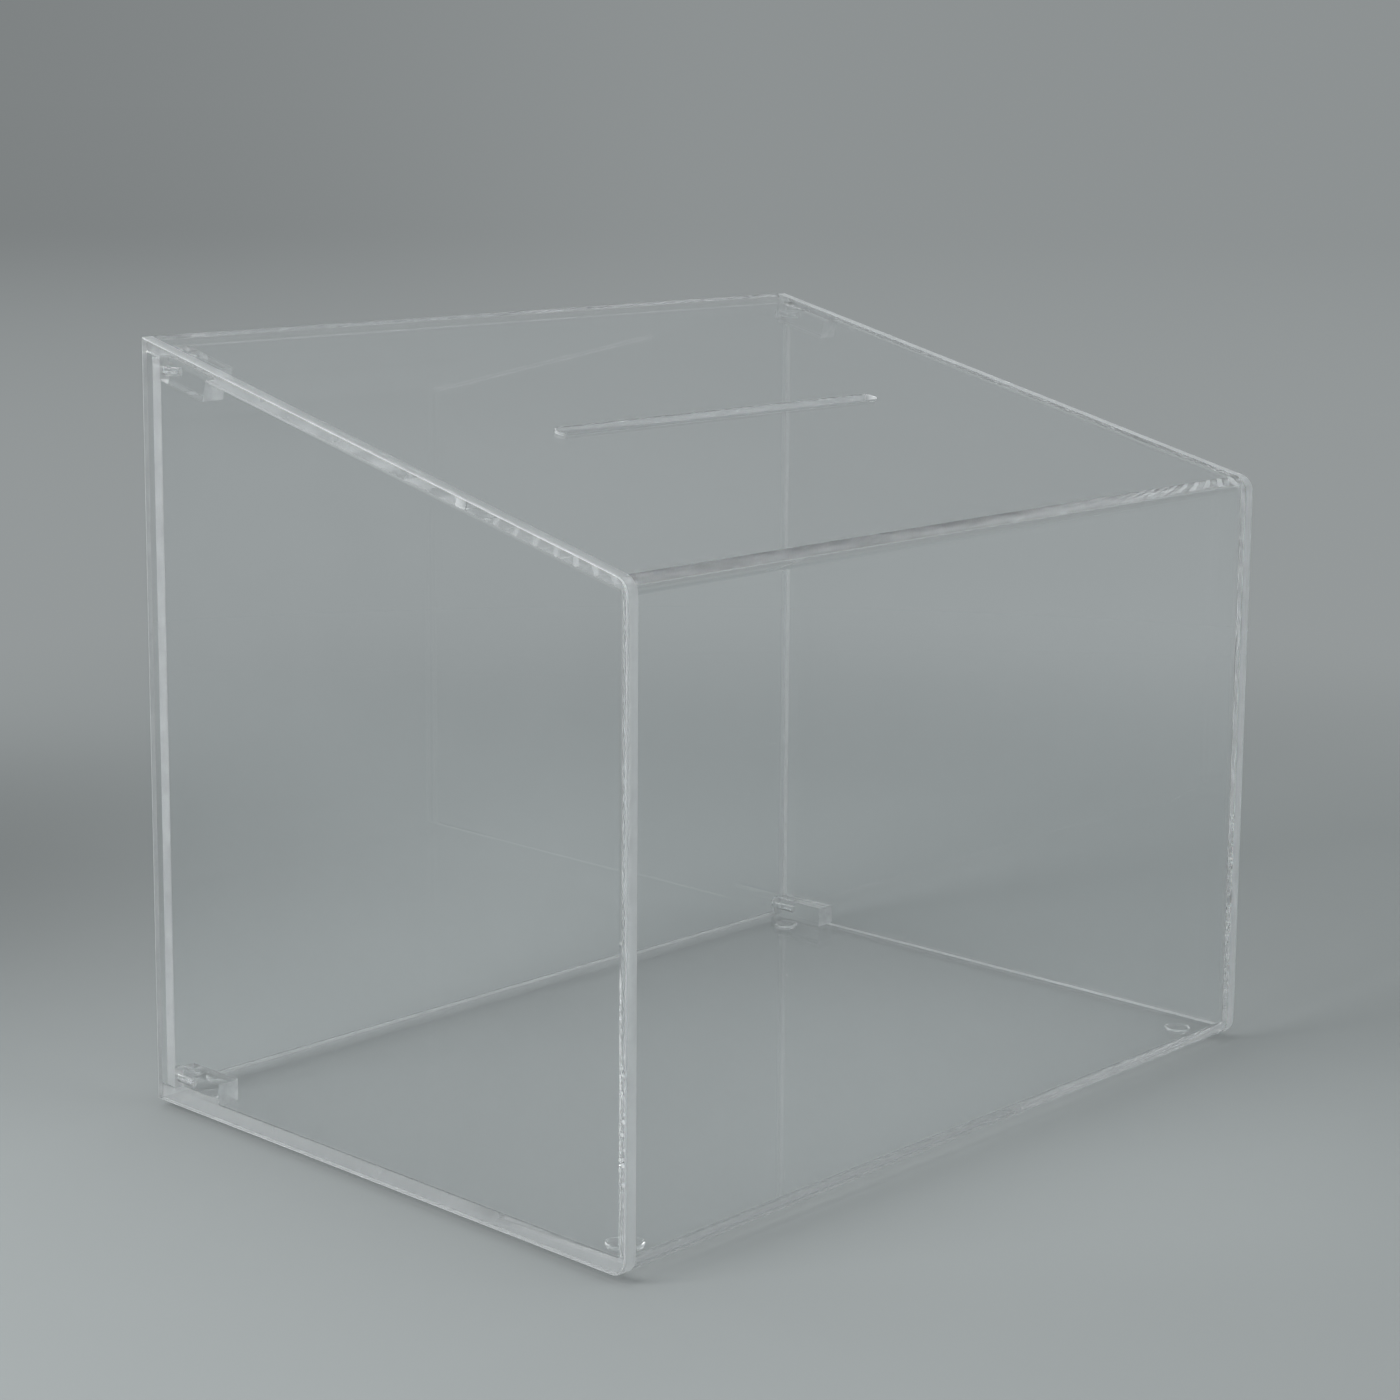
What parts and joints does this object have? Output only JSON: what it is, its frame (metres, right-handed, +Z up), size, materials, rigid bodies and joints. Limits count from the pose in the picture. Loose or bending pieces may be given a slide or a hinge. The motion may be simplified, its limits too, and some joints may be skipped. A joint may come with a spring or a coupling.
{
  "type": "ballot box",
  "caption": "Clear acrylic ballot box with a sloping top, a voting slot, bent front corners and a recessed back panel held by four clear screws.",
  "frame": {"origin": "on the ground, under the middle of the footprint", "axes": "+X to the right, the low front faces -Y, +Z up"},
  "size_m": [0.432, 0.305, 0.3575],
  "materials": {
    "clear_acrylic": "polished",
    "clear_bumper": "gloss",
    "clear_screw": "gloss"
  },
  "bodies": {
    "shell": {"wrap_sheet": "clear_acrylic", "left_side_panel": "clear_acrylic", "right_side_panel": "clear_acrylic", "block_top_left": "clear_acrylic", "block_top_right": "clear_acrylic", "block_bottom_left": "clear_acrylic", "block_bottom_right": "clear_acrylic", "foot_front_left": "clear_bumper", "foot_front_right": "clear_bumper", "foot_back_left": "clear_bumper", "foot_back_right": "clear_bumper"},
    "back": {"back_panel": "clear_acrylic"},
    "top_left_screw": {"screw_top_left": "clear_screw"},
    "top_right_screw": {"screw_top_right": "clear_screw"},
    "bottom_left_screw": {"screw_bottom_left": "clear_screw"},
    "bottom_right_screw": {"screw_bottom_right": "clear_screw"}
  },
  "joints": [
    {"name": "back_panel_off", "type": "slide", "parent": "shell", "child": "back", "axis": [0, 1, 0], "range_m": [0, 0.15]},
    {"name": "screw_top_left_out", "type": "slide", "parent": "back", "child": "top_left_screw", "axis": [0, 1, 0], "range_m": [0, 0.03]},
    {"name": "screw_top_right_out", "type": "slide", "parent": "back", "child": "top_right_screw", "axis": [0, 1, 0], "range_m": [0, 0.03]},
    {"name": "screw_bottom_left_out", "type": "slide", "parent": "back", "child": "bottom_left_screw", "axis": [0, 1, 0], "range_m": [0, 0.03]},
    {"name": "screw_bottom_right_out", "type": "slide", "parent": "back", "child": "bottom_right_screw", "axis": [0, 1, 0], "range_m": [0, 0.03]}
  ]
}
